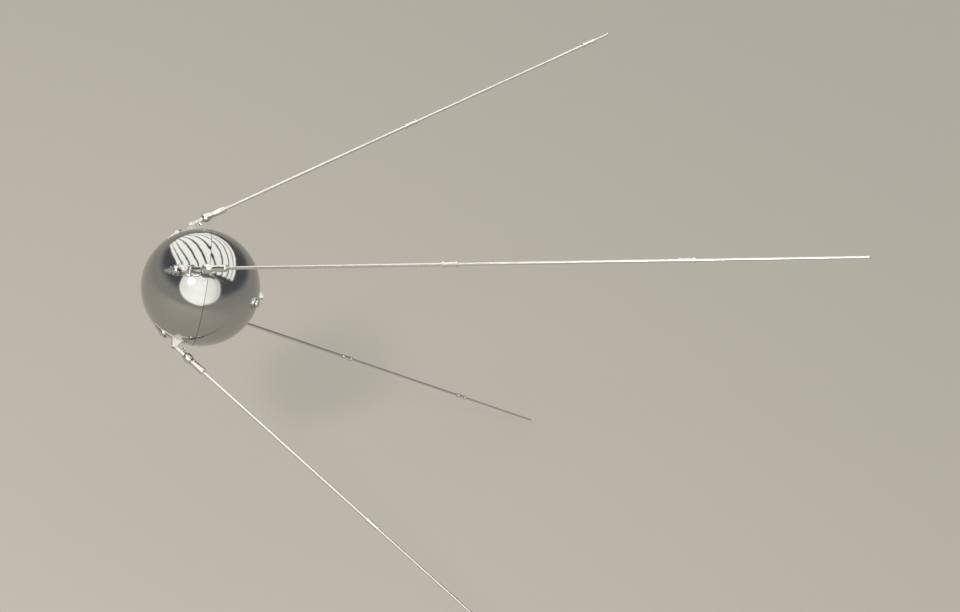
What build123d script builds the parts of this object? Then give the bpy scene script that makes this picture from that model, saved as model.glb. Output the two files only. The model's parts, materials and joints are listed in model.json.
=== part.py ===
from build123d import *

import os
from math import asin, cos, degrees, radians, sin, sqrt

# Spherical satellite: a pressure hull of two half-shells, a polished heat shield over the
# front half, and four swept-back rod antennas on sprung hinges.
# Millimetres and degrees. The origin is the centre of the sphere. +X points aft, the way
# the antennas trail, -X points to the front pole of the heat shield, and +Z is up.
# A station is an angle along a meridian, measured from the front pole.

# Hull
sphere_radius = 290.0
shell_wall = 2.0
shield_wall = 1.0
shield_standoff = 11.0
flange_width = 22.0
flange_thickness = 6.0
seal_thickness = 2.0
seal_width = 14.0
seal_inset = 4.0
seat_gap = 0.3

# Battery block and the frame that carries it on the front flange
battery_width = 360.0
battery_length = 200.0
battery_bore = 140.0
battery_centre = -5.0
battery_sides = 8
frame_thickness = 6.0
frame_overlap = 5.0
frame_web = 24.0

# Antenna foot: a plate that follows the sphere, with a teardrop fairing and two ears
plate_height = 4.0
plate_nose_station = 46.0
plate_tail_station = 84.0
plate_wide_station = 60.0
plate_nose_radius = 13.0
plate_wide_radius = 28.0
plate_tail_radius = 26.0
plate_clearance = 1.0
plate_chamfer = 1.2
fairing_nose_station = 48.8
fairing_nose_radius = 9.0
fairing_nose_height = 7.0
fairing_tail_station = 59.4
fairing_tail_radius = 22.0
fairing_tail_height = 23.0
fairing_flat = 8.0

# Hinge
pivot_station = 73.8
pivot_height = 33.0
ear_radius = 12.0
ear_thickness = 5.0
ear_foot_spread = 20.0
ear_foot_radius = 4.0
ear_gap = 30.0
pin_radius = 5.0
pin_clearance = 0.2
pin_head_radius = 8.0
pin_head_thickness = 3.0
pin_nut_across = 15.0
pin_nut_thickness = 5.0
pin_end_length = 2.5
spring_wire = 1.7
spring_turns = 4
spring_clearance = 0.5
stop_gap = 0.3
stop_length = 10.0
stop_top = 19.0
feed_lift = 10.5
feed_radius = 5.5
feed_length = 8.0
feed_tip_radius = 3.0
feed_tip_length = 7.0

# Antenna root: the hinge arm and the bulbed sleeve behind it
sweep_angle = 35.0
arm_width = 16.0
arm_height = 16.0
arm_length = 64.0
arm_rounding = 3.0
eye_radius = 13.0
finger_width = 8.0
finger_length = 25.0
collar_radius = 13.0
collar_length = 6.0
stud_station = 46.0
stud_radius = 6.0
stud_length = 14.0
stud_cap_radius = 8.0
stud_cap_height = 6.0
bulb_station = 90.0
bulb_radius = 23.0
neck_station = 126.0
neck_radius = 15.0
gland_length = 26.0
gland_radius = 17.5
sleeve_end = 192.0
sleeve_end_radius = 15.0
sleeve_chamfer = 5.0
socket_depth = 42.0

# Antenna rods: three tube sections, each thinner than the one before it
rod_radii = (8.0, 7.0, 6.0)
rod_clearance = 0.1
joint_length = 72.0
joint_wall = 2.5
joint_collar_length = 9.0
joint_collar_wall = 5.5
tip_length = 14.0
tip_wall = 1.5

# Fittings on the hull
contact_boss_radius = 20.0
contact_flange_radius = 27.0
contact_flange_thickness = 4.0
contact_stub_radius = 16.0
contact_stub_length = 14.0
contact_chamfer = 1.0
contact_cup_radius = 11.0
contact_cup_depth = 7.0
contact_pin_radius = 5.0
contact_pin_length = 4.0
contact_depth = 12.0
connector_station = 152.0
connector_roll = 75.0
connector_radius = 32.0
connector_height = 7.0
connector_depth = 8.0
connector_bore = 21.0
connector_cover_radius = 20.0
connector_cover_height = 15.0
connector_cover_rounding = 6.0
connector_bolts = 6
connector_bolt_ring = 26.0
connector_bolt_radius = 2.2
connector_bolt_depth = 6.0
valve_station = 50.0
valve_roll = -90.0
valve_radius = 12.0
valve_height = 5.0
valve_bore = 4.0
valve_bore_depth = 12.0
hole_clearance = 0.5
fitting_gap = 0.1

# Columns: name, roll about X from the top, pivot to tip, first rod joint, second rod joint
antennas = [
    ("antenna_1", -45.0, 2620.0, 1300.0, 2475.0),
    ("antenna_2", 45.0, 3120.0, 1300.0, 2365.0),
    ("antenna_3", -135.0, 3120.0, 1300.0, 2365.0),
    ("antenna_4", 135.0, 2620.0, 1300.0, 2475.0),
]

seam = seal_thickness / 2
shield_inner_radius = sphere_radius - shield_wall
front_shell_radius = shield_inner_radius - shield_standoff
foot_seat_radius = front_shell_radius + seat_gap
pivot_radius = sphere_radius + pivot_height
socket_bottom = sleeve_end - socket_depth


def meridian(roll):
    """Plane of one meridian: local x aft, local y outwards, local z along the hinge pin."""
    return Plane(
        origin=(0, 0, 0),
        x_dir=(1, 0, 0),
        z_dir=(0, -cos(radians(roll)), -sin(radians(roll))),
    )


def on_meridian(station, radius):
    """Point of a meridian plane at a station and a distance from the sphere's centre."""
    return Vector(-radius * cos(radians(station)), radius * sin(radians(station)))


def radial_plane(roll, station, radius):
    """Plane that faces outwards, its local x pointing aft along the meridian."""
    base = meridian(roll)
    centre = on_meridian(station, radius)
    outward = on_meridian(station, 1.0)
    aft = Vector(sin(radians(station)), cos(radians(station)))
    x_dir = base.from_local_coords(aft) - base.origin
    z_dir = base.from_local_coords(outward) - base.origin
    return Plane(origin=base.from_local_coords(centre), x_dir=x_dir, z_dir=z_dir)


def hinge_plane(roll):
    """Plane at the hinge pin: local x aft along the hull, local y away from it."""
    base = meridian(roll)
    pivot = base.from_local_coords(on_meridian(pivot_station, pivot_radius))
    aft = Vector(sin(radians(pivot_station)), cos(radians(pivot_station)))
    x_dir = base.from_local_coords(aft) - base.origin
    return Plane(origin=pivot, x_dir=x_dir, z_dir=base.z_dir)


def rod_plane(roll):
    """Plane at the hinge pin: local x along the rod, local y away from the hull."""
    base = meridian(roll)
    pivot = base.from_local_coords(on_meridian(pivot_station, pivot_radius))
    along = Vector(cos(radians(sweep_angle)), sin(radians(sweep_angle)))
    x_dir = base.from_local_coords(along) - base.origin
    return Plane(origin=pivot, x_dir=x_dir, z_dir=base.z_dir)


def rod_axis(roll):
    plane = rod_plane(roll)
    return Axis(plane.origin, plane.x_dir)


def on_circle(radius, x):
    """Point of a hull profile, at a place x along the sphere's axis."""
    return (x, sqrt(radius**2 - x**2))


def diagonal(radius, side):
    """Middle point of a quarter circle on the rear (side 1) or front (side -1)."""
    return (side * radius * sqrt(0.5), radius * sqrt(0.5))


def foot_outline(margin):
    """Outline of an antenna foot on its radial plane: three circles in one tight loop."""
    middle = (plate_nose_station + plate_tail_station) / 2
    nose_x = sphere_radius * sin(radians(plate_nose_station - middle)) + plate_nose_radius
    wide_x = sphere_radius * sin(radians(plate_wide_station - middle))
    tail_x = sphere_radius * sin(radians(plate_tail_station - middle)) - plate_tail_radius
    with BuildSketch(mode=Mode.PRIVATE) as outline:
        with Locations((nose_x, 0)):
            Circle(plate_nose_radius + margin)
        with Locations((wide_x, 0)):
            Circle(plate_wide_radius + margin)
        with Locations((tail_x, 0)):
            Circle(plate_tail_radius + margin)
        make_hull()
    return outline.sketch


def foot_plane(roll):
    middle = (plate_nose_station + plate_tail_station) / 2
    return radial_plane(roll, middle, 0.0)


def save(part, name):
    """Label a finished node and write its STEP file."""
    part.label = name
    export_step(part, f"parts/{name}.step")


os.makedirs("parts", exist_ok=True)

# Rear half-shell, with its joining flange inside and two holes for the aft fittings
with BuildPart() as rear_shell:
    with BuildSketch(Plane.XY):
        with BuildLine():
            flange_end = seam + flange_thickness
            flange_inner = sphere_radius - flange_width
            shell_inner = sphere_radius - shell_wall
            ThreePointArc(
                on_circle(sphere_radius, seam), diagonal(sphere_radius, 1), (sphere_radius, 0)
            )
            Line((sphere_radius, 0), (shell_inner, 0))
            ThreePointArc(
                (shell_inner, 0), diagonal(shell_inner, 1), on_circle(shell_inner, flange_end)
            )
            Polyline(
                on_circle(shell_inner, flange_end),
                (flange_end, flange_inner),
                (seam, flange_inner),
                on_circle(sphere_radius, seam),
            )
        make_face()
    revolve(axis=Axis.X)
    with BuildSketch(Plane.YZ.offset(sphere_radius / 2)):
        Circle(contact_boss_radius + hole_clearance)
    extrude(amount=sphere_radius, mode=Mode.SUBTRACT)
    with BuildSketch(radial_plane(connector_roll, connector_station, sphere_radius / 2)):
        Circle(connector_bore + hole_clearance)
    extrude(amount=sphere_radius, mode=Mode.SUBTRACT)
save(rear_shell.part, "rear_shell")

# Front half-shell: smaller than the heat shield over it, with a wide flange at the seam
with BuildPart() as front_shell:
    with BuildSketch(Plane.XY):
        with BuildLine():
            flange_rim = shield_inner_radius - seat_gap
            front_inner = front_shell_radius - shell_wall
            Polyline(
                (-seam, flange_inner),
                (-seam, flange_rim),
                (-flange_end, flange_rim),
                on_circle(front_shell_radius, -flange_end),
            )
            ThreePointArc(
                on_circle(front_shell_radius, -flange_end),
                diagonal(front_shell_radius, -1),
                (-front_shell_radius, 0),
            )
            Line((-front_shell_radius, 0), (-front_inner, 0))
            ThreePointArc(
                (-front_inner, 0), diagonal(front_inner, -1), on_circle(front_inner, -flange_end)
            )
            Polyline(
                on_circle(front_inner, -flange_end),
                (-flange_end, flange_inner),
                (-seam, flange_inner),
            )
        make_face()
    revolve(axis=Axis.X)
save(front_shell.part, "front_shell")

# Rubber seal between the two flanges
with BuildPart() as seal_ring:
    with BuildSketch(Plane.YZ.offset(-seam)):
        Circle(sphere_radius - seal_inset)
        Circle(sphere_radius - seal_inset - seal_width, mode=Mode.SUBTRACT)
    extrude(amount=seal_thickness)
save(seal_ring.part, "seal_ring")

# Polished heat shield, pierced for the four antenna feet and the filling valve
with BuildPart() as heat_shield:
    with BuildSketch(Plane.XY):
        with BuildLine():
            ThreePointArc(
                on_circle(sphere_radius, -seam), diagonal(sphere_radius, -1), (-sphere_radius, 0)
            )
            Line((-sphere_radius, 0), (-shield_inner_radius, 0))
            ThreePointArc(
                (-shield_inner_radius, 0),
                diagonal(shield_inner_radius, -1),
                on_circle(shield_inner_radius, -seam),
            )
            Line(on_circle(shield_inner_radius, -seam), on_circle(sphere_radius, -seam))
        make_face()
    revolve(axis=Axis.X)
    for name, roll, reach, joint_1, joint_2 in antennas:
        with BuildSketch(foot_plane(roll)):
            add(foot_outline(plate_clearance))
        extrude(amount=2 * sphere_radius, mode=Mode.SUBTRACT)
    with BuildSketch(radial_plane(valve_roll, valve_station, sphere_radius / 2)):
        Circle(valve_radius + hole_clearance)
    extrude(amount=sphere_radius, mode=Mode.SUBTRACT)
save(heat_shield.part, "heat_shield")

# Battery block, the heavy mass: an octagonal nut about the sphere's axis
with BuildPart() as battery_block:
    with BuildSketch(Plane.YZ.offset(battery_centre - battery_length / 2)):
        RegularPolygon(battery_width / 2, battery_sides, major_radius=False)
        Circle(battery_bore / 2, mode=Mode.SUBTRACT)
    extrude(amount=battery_length)
save(battery_block.part, "battery_block")

# Frame that holds the block by its flats and lies against the front flange
with BuildPart() as battery_frame:
    frame_radius = flange_inner + frame_overlap
    frame_hole_circle = (frame_radius + battery_width / 2) / 2
    frame_hole = (frame_radius - battery_width / 2) / 2 - frame_web
    with BuildSketch(Plane.YZ.offset(-flange_end - frame_thickness)):
        Circle(frame_radius)
        RegularPolygon(battery_width / 2, battery_sides, major_radius=False, mode=Mode.SUBTRACT)
        with PolarLocations(frame_hole_circle, battery_sides):
            Circle(frame_hole, mode=Mode.SUBTRACT)
    extrude(amount=frame_thickness)
save(battery_frame.part, "battery_frame")

# Separation contact at the rear pole: flange on the shell, cupped stub and centre pin
with BuildPart() as separation_contact:
    contact_face = sphere_radius + contact_flange_thickness
    stub_face = contact_face + contact_stub_length
    seat_radius = sphere_radius + fitting_gap
    seat_inner = (sqrt(seat_radius**2 - contact_boss_radius**2), contact_boss_radius)
    seat_outer = (sqrt(seat_radius**2 - contact_flange_radius**2), contact_flange_radius)
    with BuildSketch(Plane.XY):
        with BuildLine():
            Polyline(
                seat_inner,
                (sphere_radius - contact_depth, contact_boss_radius),
                (sphere_radius - contact_depth, 0),
                (stub_face + contact_pin_length, 0),
                (stub_face + contact_pin_length, contact_pin_radius),
                (stub_face - contact_cup_depth, contact_pin_radius),
                (stub_face - contact_cup_depth, contact_cup_radius),
                (stub_face, contact_cup_radius),
                (stub_face, contact_stub_radius - contact_chamfer),
                (stub_face - contact_chamfer, contact_stub_radius),
                (contact_face, contact_stub_radius),
                (contact_face, contact_flange_radius),
                seat_outer,
            )
            RadiusArc(seat_outer, seat_inner, seat_radius)
        make_face()
    revolve(axis=Axis.X)
save(separation_contact.part, "separation_contact")

# Test connector: a bolted flange through the rear shell, with its domed cover
with BuildPart() as test_connector:
    connector_plane = radial_plane(connector_roll, connector_station, 0.0)
    connector_face = sphere_radius + connector_height
    with BuildSketch(connector_plane.offset(sphere_radius - connector_depth)):
        Circle(connector_radius)
    extrude(amount=connector_depth + connector_height)
    Sphere(sphere_radius + fitting_gap, mode=Mode.SUBTRACT)
    with BuildSketch(connector_plane.offset(sphere_radius - connector_depth)):
        Circle(connector_bore)
    extrude(amount=connector_depth + connector_height)
    with BuildSketch(connector_plane.offset(connector_face - connector_bolt_depth)):
        with PolarLocations(connector_bolt_ring, connector_bolts):
            Circle(connector_bolt_radius)
    extrude(amount=connector_bolt_depth, mode=Mode.SUBTRACT)
save(test_connector.part, "test_connector")

with BuildPart() as connector_cover:
    with BuildSketch(connector_plane.offset(connector_face)):
        Circle(connector_cover_radius)
    extrude(amount=connector_cover_height)
    cover_axis = Axis(connector_plane.origin, connector_plane.z_dir)
    fillet(connector_cover.faces().sort_by(cover_axis)[-1].edges(), connector_cover_rounding)
save(connector_cover.part, "connector_cover")

# Filling valve on the front shell, on the side away from the test connector
with BuildPart() as filling_valve:
    valve_plane = radial_plane(valve_roll, valve_station, 0.0)
    valve_top = sphere_radius + valve_height
    with BuildSketch(valve_plane.offset(front_shell_radius - valve_radius)):
        Circle(valve_radius)
    extrude(amount=valve_top - front_shell_radius + valve_radius)
    with BuildSketch(valve_plane.offset(valve_top - valve_bore_depth)):
        Circle(valve_bore)
    extrude(amount=valve_bore_depth, mode=Mode.SUBTRACT)
    Sphere(foot_seat_radius, mode=Mode.SUBTRACT)
save(filling_valve.part, "filling_valve")


def build_foot(roll):
    """Foot plate with its teardrop fairing, hinge ears and opening stop."""
    base = meridian(roll)
    hinge = hinge_plane(roll)
    nose = on_meridian(
        fairing_nose_station, sphere_radius + fairing_nose_height - fairing_nose_radius
    )
    tail = on_meridian(
        fairing_tail_station, sphere_radius + fairing_tail_height - fairing_tail_radius
    )
    fairing_run = (tail - nose).length
    along = (tail - nose).normalized()
    fairing_x = base.from_local_coords(along) - base.origin
    fairing_plane = Plane(origin=base.from_local_coords(nose), x_dir=fairing_x, z_dir=base.z_dir)
    taper = degrees(asin((fairing_tail_radius - fairing_nose_radius) / fairing_run))
    flat_x = fairing_tail_radius - fairing_flat
    flat_y = sqrt(fairing_tail_radius**2 - flat_x**2)
    flat_angle = degrees(asin(flat_y / fairing_tail_radius))
    with BuildPart() as foot:
        with BuildSketch(foot_plane(roll)):
            add(foot_outline(0.0))
        extrude(amount=2 * sphere_radius)
        Sphere(sphere_radius + plate_height, mode=Mode.INTERSECT)
        plate_axis = Axis((0, 0, 0), foot_plane(roll).z_dir)
        chamfer(foot.faces().sort_by(plate_axis)[-1].edges(), plate_chamfer)
        with BuildSketch(fairing_plane):
            with BuildLine():
                nose_arc = CenterArc((0, 0), fairing_nose_radius, 180, taper - 90)
                tail_arc = CenterArc(
                    (fairing_run, 0), fairing_tail_radius, 90 + taper, flat_angle - 90 - taper
                )
                Line(nose_arc @ 1, tail_arc @ 0)
                Polyline(tail_arc @ 1, (fairing_run + flat_x, 0), nose_arc @ 0)
            make_face()
        revolve(axis=Axis(fairing_plane.origin, fairing_plane.x_dir))
        near_ear = ear_gap / 2
        far_ear = -ear_gap / 2 - ear_thickness
        with BuildSketch(hinge.offset(near_ear), hinge.offset(far_ear)):
            Circle(ear_radius)
            with Locations((-ear_foot_spread, -pivot_height), (ear_foot_spread, -pivot_height)):
                Circle(ear_foot_radius)
            make_hull()
        extrude(amount=ear_thickness)
        stop_face = finger_width / 2 + stop_gap
        with BuildSketch(hinge.offset(-near_ear)):
            with Locations((stop_face, -pivot_height)):
                Rectangle(stop_length, pivot_height - stop_top, align=(Align.MIN, Align.MIN))
        extrude(amount=ear_gap)
        with BuildSketch(hinge.offset(far_ear)):
            Circle(pin_radius + rod_clearance)
        extrude(amount=ear_gap + 2 * ear_thickness, mode=Mode.SUBTRACT)
        Sphere(foot_seat_radius, mode=Mode.SUBTRACT)
    feed_origin = fairing_plane.from_local_coords(Vector(fairing_run + flat_x, feed_lift))
    return foot.part, Plane(origin=feed_origin, x_dir=base.z_dir, z_dir=fairing_x)


def build_feed(plane):
    """Sealed lead-in on the flat behind the fairing."""
    with BuildPart() as feed:
        with BuildSketch(plane):
            Circle(feed_radius)
        extrude(amount=feed_length)
        with BuildSketch(plane.offset(feed_length)):
            Circle(feed_tip_radius)
        extrude(amount=feed_tip_length)
    return feed.part


def build_pin(roll):
    """Hinge pin with a round head outside one ear and a nut outside the other."""
    hinge = hinge_plane(roll)
    half = ear_gap / 2 + ear_thickness
    with BuildPart() as pin:
        with BuildSketch(hinge.offset(-half)):
            Circle(pin_radius)
        extrude(amount=2 * half + pin_nut_thickness + pin_end_length)
        with BuildSketch(hinge.offset(half)):
            RegularPolygon(pin_nut_across / 2, 6, major_radius=False)
        extrude(amount=pin_nut_thickness)
        with BuildSketch(hinge.offset(-half - pin_head_thickness)):
            Circle(pin_head_radius)
        extrude(amount=pin_head_thickness)
    return pin.part


def build_spring(roll, side):
    """One of the two coils round the pin, beside the arm's eye: turns that touch."""
    hinge = hinge_plane(roll)
    room = (ear_gap - arm_width) / 2
    middle = side * (arm_width + room) / 2
    pitch = (room - 2 * spring_clearance - spring_wire) / (spring_turns - 1)
    coil_radius = pin_radius + spring_clearance + spring_wire / 2
    profile_plane = Plane(origin=hinge.origin, x_dir=hinge.z_dir, z_dir=hinge.x_dir)
    with BuildPart() as spring:
        with BuildSketch(profile_plane):
            for turn in range(spring_turns):
                x = middle + (turn - (spring_turns - 1) / 2) * pitch
                with Locations((x, coil_radius)):
                    Circle(spring_wire / 2)
            with Locations((middle, coil_radius)):
                Rectangle((spring_turns - 1) * pitch, spring_wire / 2)
        revolve(axis=Axis(hinge.origin, hinge.z_dir))
    return spring.part


def build_arm(roll):
    """Moving arm: eye on the pin, stop finger, bar, spring stud and end collar."""
    hinge = hinge_plane(roll)
    rod = rod_plane(roll)
    half = arm_width / 2
    with BuildPart() as arm:
        with BuildSketch(rod.offset(-half)):
            Circle(eye_radius)
            Rectangle(arm_length - collar_length, arm_height, align=(Align.MIN, Align.CENTER))
        extrude(amount=arm_width)
        fillet(arm.edges().filter_by(Axis(rod.origin, rod.x_dir)), arm_rounding)
        with BuildSketch(hinge.offset(-half)):
            with Locations((0, -finger_length)):
                Rectangle(finger_width, finger_length, align=(Align.CENTER, Align.MIN))
        extrude(amount=arm_width)
        collar_plane = Plane(origin=rod.origin, x_dir=rod.y_dir, z_dir=rod.x_dir)
        with BuildSketch(collar_plane.offset(arm_length - collar_length)):
            Circle(collar_radius)
        extrude(amount=collar_length)
        stud_origin = rod.from_local_coords(Vector(stud_station, 0))
        stud_plane = Plane(origin=stud_origin, x_dir=rod.x_dir, z_dir=-rod.y_dir)
        with BuildSketch(stud_plane):
            Circle(stud_radius)
        extrude(amount=arm_height / 2 + stud_length)
        with BuildSketch(stud_plane.offset(arm_height / 2 + stud_length - stud_cap_height)):
            Circle(stud_cap_radius)
        extrude(amount=stud_cap_height)
        with BuildSketch(rod.offset(-half)):
            Circle(pin_radius + pin_clearance)
        extrude(amount=arm_width, mode=Mode.SUBTRACT)
    return arm.part


def build_sleeve(roll):
    """Bulbed root sleeve, bored at its end for the first rod section."""
    rod = rod_plane(roll)
    with BuildPart() as sleeve:
        with BuildSketch(rod):
            with BuildLine():
                swell = ThreePointArc(
                    (arm_length, collar_radius),
                    (arm_length + (bulb_station - arm_length) * 0.32, bulb_radius * 0.86),
                    (bulb_station, bulb_radius),
                )
                shoulder = TangentArc(
                    swell @ 1,
                    ((bulb_station + neck_station) / 2, (bulb_radius + neck_radius) / 2),
                    tangent=(1, 0),
                )
                TangentArc(shoulder @ 1, (neck_station, neck_radius), tangent=shoulder % 1)
                Polyline(
                    (neck_station, neck_radius),
                    (sleeve_end - gland_length, gland_radius),
                    (sleeve_end - sleeve_chamfer, gland_radius),
                    (sleeve_end, sleeve_end_radius),
                    (sleeve_end, rod_radii[0] + rod_clearance),
                    (socket_bottom, rod_radii[0] + rod_clearance),
                    (socket_bottom, 0),
                    (arm_length, 0),
                    (arm_length, collar_radius),
                )
            make_face()
        revolve(axis=rod_axis(roll))
    return sleeve.part


def build_rod(roll, start, end, radius):
    """Plain rod section between two places along the antenna."""
    rod = rod_plane(roll)
    section_plane = Plane(origin=rod.origin, x_dir=rod.y_dir, z_dir=rod.x_dir)
    with BuildPart() as section:
        with BuildSketch(section_plane.offset(start)):
            Circle(radius)
        extrude(amount=end - start)
    return section.part


def build_tip_rod(roll, start, end, radius):
    """Last rod section, with its rounded end cap."""
    cap_radius = radius + tip_wall
    with BuildPart() as section:
        with BuildSketch(rod_plane(roll)):
            with BuildLine():
                Polyline(
                    (end - cap_radius, cap_radius),
                    (end - tip_length, cap_radius),
                    (end - tip_length, radius),
                    (start, radius),
                    (start, 0),
                    (end, 0),
                )
                ThreePointArc(
                    (end, 0),
                    (end - cap_radius * (1 - sqrt(0.5)), cap_radius * sqrt(0.5)),
                    (end - cap_radius, cap_radius),
                )
            make_face()
        revolve(axis=rod_axis(roll))
    return section.part


def build_joint(roll, centre, near_radius, far_radius):
    """Sleeve over the meeting ends of two rod sections, with a collar at each end."""
    first = centre - joint_length / 2
    last = centre + joint_length / 2
    body_radius = near_radius + joint_wall
    collar = near_radius + joint_collar_wall
    with BuildPart() as joint:
        with BuildSketch(rod_plane(roll)):
            with BuildLine():
                Polyline(
                    (first, near_radius + rod_clearance),
                    (first, collar),
                    (first + joint_collar_length, collar),
                    (first + joint_collar_length, body_radius),
                    (last - joint_collar_length, body_radius),
                    (last - joint_collar_length, collar),
                    (last, collar),
                    (last, far_radius + rod_clearance),
                    (centre, far_radius + rod_clearance),
                    (centre, near_radius + rod_clearance),
                    close=True,
                )
            make_face()
        revolve(axis=rod_axis(roll))
    return joint.part


feeds = []
pins = []
springs = []
for name, roll, reach, joint_1, joint_2 in antennas:
    foot, feed_plane = build_foot(roll)
    save(foot, f"{name}_foot")
    feeds.append(build_feed(feed_plane))
    pins.append(build_pin(roll))
    springs.append(build_spring(roll, -1))
    springs.append(build_spring(roll, 1))
    save(build_arm(roll), f"{name}_hinge_arm")
    save(build_sleeve(roll), f"{name}_root_sleeve")
    save(build_rod(roll, socket_bottom, joint_1, rod_radii[0]), f"{name}_rod_inner")
    save(build_rod(roll, joint_1, joint_2, rod_radii[1]), f"{name}_rod_middle")
    save(build_tip_rod(roll, joint_2, reach, rod_radii[2]), f"{name}_rod_outer")
    near = build_joint(roll, joint_1, rod_radii[0], rod_radii[1])
    far = build_joint(roll, joint_2, rod_radii[1], rod_radii[2])
    save(Compound(children=[near, far]), f"{name}_rod_joints")

# Like pieces of the fixed body share a node
save(Compound(children=feeds), "feed_fittings")
save(Compound(children=pins), "hinge_pins")
save(Compound(children=springs), "hinge_springs")
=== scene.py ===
# %% [markdown]
# # Dressing a spherical satellite
# The object is a polished metal ball, 580 mm across, with four long rod antennas that sweep
# back from its front half on sprung hinges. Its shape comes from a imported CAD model. This
# lesson keeps that model as a fixed frame and adds what CAD leaves out: finishes, screws,
# spring wire, a rubber ring, a floor, lamps and a camera. Lengths are metres. +X points aft,
# the way the antennas trail, +Z is up, and the origin is the centre of the ball. A cell that
# makes or measures something prints it, so the lesson can be run step by step.

# %% Load the frame
import json
import math

import bmesh
import bpy
from mathutils import Matrix, Vector


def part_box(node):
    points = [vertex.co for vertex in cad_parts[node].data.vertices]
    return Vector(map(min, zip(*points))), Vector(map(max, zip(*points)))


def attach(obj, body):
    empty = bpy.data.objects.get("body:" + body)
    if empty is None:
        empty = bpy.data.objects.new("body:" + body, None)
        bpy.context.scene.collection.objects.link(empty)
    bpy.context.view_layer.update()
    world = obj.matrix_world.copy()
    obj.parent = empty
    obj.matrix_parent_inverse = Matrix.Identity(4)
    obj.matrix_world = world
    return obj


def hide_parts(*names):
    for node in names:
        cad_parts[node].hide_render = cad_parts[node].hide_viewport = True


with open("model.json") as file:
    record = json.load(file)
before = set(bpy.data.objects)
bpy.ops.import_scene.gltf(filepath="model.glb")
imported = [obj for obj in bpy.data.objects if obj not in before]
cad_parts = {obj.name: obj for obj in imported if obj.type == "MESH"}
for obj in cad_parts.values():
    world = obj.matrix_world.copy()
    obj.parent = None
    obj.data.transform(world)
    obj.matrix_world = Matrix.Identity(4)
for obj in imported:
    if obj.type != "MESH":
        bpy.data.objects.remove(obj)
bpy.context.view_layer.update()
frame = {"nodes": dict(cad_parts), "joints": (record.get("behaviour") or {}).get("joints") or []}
print("nodes:", len(frame["nodes"]))

# %% [markdown]
# Every size gets a name where it is first needed, and two of them are needed all through. The
# radius of the ball could be typed in, but it is read from the CAD node of the heat shield,
# whose lowest corner in X is its front pole, so the lesson follows the model if that ever
# changes size. The sweep is the angle between a rod and the axis of the ball.

# %% Driving sizes
MM = 0.001
AFT = Vector((1, 0, 0))
ball_radius = -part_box("heat_shield")[0].x
sweep_angle = math.radians(35.0)
print("ball radius:", round(ball_radius / MM, 2), "mm")

# %% [markdown]
# Each antenna turns on a pin. The CAD record tells where the pin is and which way it points,
# and from those two vectors come three directions: outwards from the axis of the ball, aft
# along the skin, and along the rod. A matrix with such directions as its columns stands any
# piece in its place, and the piece's own shape can then be drawn round the origin. Three
# angles could do the same, but they depend on the order of turning, and directions don't.


# %% Directions of one antenna
def placed(origin, along, up):
    """Matrix that stands a shape at origin, its X along one direction and its Z up another."""
    side = up.cross(along)
    turn = Matrix((along, side, up)).transposed().to_4x4()
    return Matrix.Translation(origin) @ turn


class Antenna:
    """Names and directions of one antenna, read from the joint that carries it."""

    def __init__(self, joint):
        self.body = joint["child"]
        self.pivot = Vector(joint["pos_m"])
        self.pin = -Vector(joint["axis"])
        self.outward = self.pin.cross(AFT)
        self.rod = AFT * math.cos(sweep_angle) + self.outward * math.sin(sweep_angle)
        self.lift = self.pin.cross(self.rod)

    def on_rod(self, distance):
        """Place on the rod's centre line, its Z along the rod."""
        return placed(self.pivot + self.rod * distance, self.lift, self.rod)


antennas = [Antenna(joint) for joint in frame["joints"]]
for antenna in antennas:
    print(antenna.body, "pivot", [round(value / MM, 1) for value in antenna.pivot])

# %% [markdown]
# New pieces are drawn with bmesh operators, which work on a mesh in memory, with no selection
# and no edit mode. A finished bmesh becomes a mesh object at the origin, unturned and unscaled,
# with its place in its points. Each piece rides on a body of the model, so it moves when the
# body moves, and wears a material. Many like screws could be as many objects, but one pattern
# stamped into one mesh keeps the list of pieces short.

# %% From a bmesh to a finished piece
smooth_limit = math.radians(35)


def finish_piece(mesh_edit, name, body, material):
    """Turns a bmesh into a piece that rides on a body and wears a material."""
    mesh = bpy.data.meshes.new(name)
    mesh_edit.to_mesh(mesh)
    mesh_edit.free()
    mesh.materials.append(material)
    mesh.shade_smooth()
    mesh.set_sharp_from_angle(angle=smooth_limit)
    piece = bpy.data.objects.new(name, mesh)
    bpy.context.scene.collection.objects.link(piece)
    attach(piece, body)
    return piece


def stamp(mesh_edit, pattern, places):
    """Adds a copy of a pattern mesh to a bmesh at each place."""
    for place in places:
        first = len(mesh_edit.verts)
        mesh_edit.from_mesh(pattern)
        mesh_edit.verts.ensure_lookup_table()
        bmesh.ops.transform(mesh_edit, matrix=place, verts=mesh_edit.verts[first:])


def as_pattern(mesh_edit, name):
    """Keeps a bmesh as a mesh that stamp can repeat."""
    mesh = bpy.data.meshes.new(name)
    mesh_edit.to_mesh(mesh)
    mesh_edit.free()
    return mesh


# %% [markdown]
# ## Finishes
# A finish is a small tree of shader nodes. Every tree here lets a noise move the roughness of
# the surface and shift its colour between two tones, because on a real object neither is the
# same everywhere. Those moves could be written out in each tree, but as helpers they are
# written once. A noise hardly leaves its middle range, so a Map Range node spreads that range
# over the values wanted.


# %% Helpers for shader trees
def new_node(tree, kind, **settings):
    """New shader node: names of sockets or properties are set to the values given."""
    node = tree.nodes.new(kind)
    for key, value in settings.items():
        if key in node.inputs:
            node.inputs[key].default_value = value
        else:
            setattr(node, key, value)
    return node


noise_low = 0.3
noise_high = 0.7


def spread_between(tree, source, low, high):
    """Socket that carries the middle range of a noise, spread between two values."""
    spread = tree.nodes.new("ShaderNodeMapRange")
    spread.inputs["From Min"].default_value = noise_low
    spread.inputs["From Max"].default_value = noise_high
    spread.inputs["To Min"].default_value = low
    spread.inputs["To Max"].default_value = high
    tree.links.new(source, spread.inputs["Value"])
    return spread.outputs["Result"]


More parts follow.
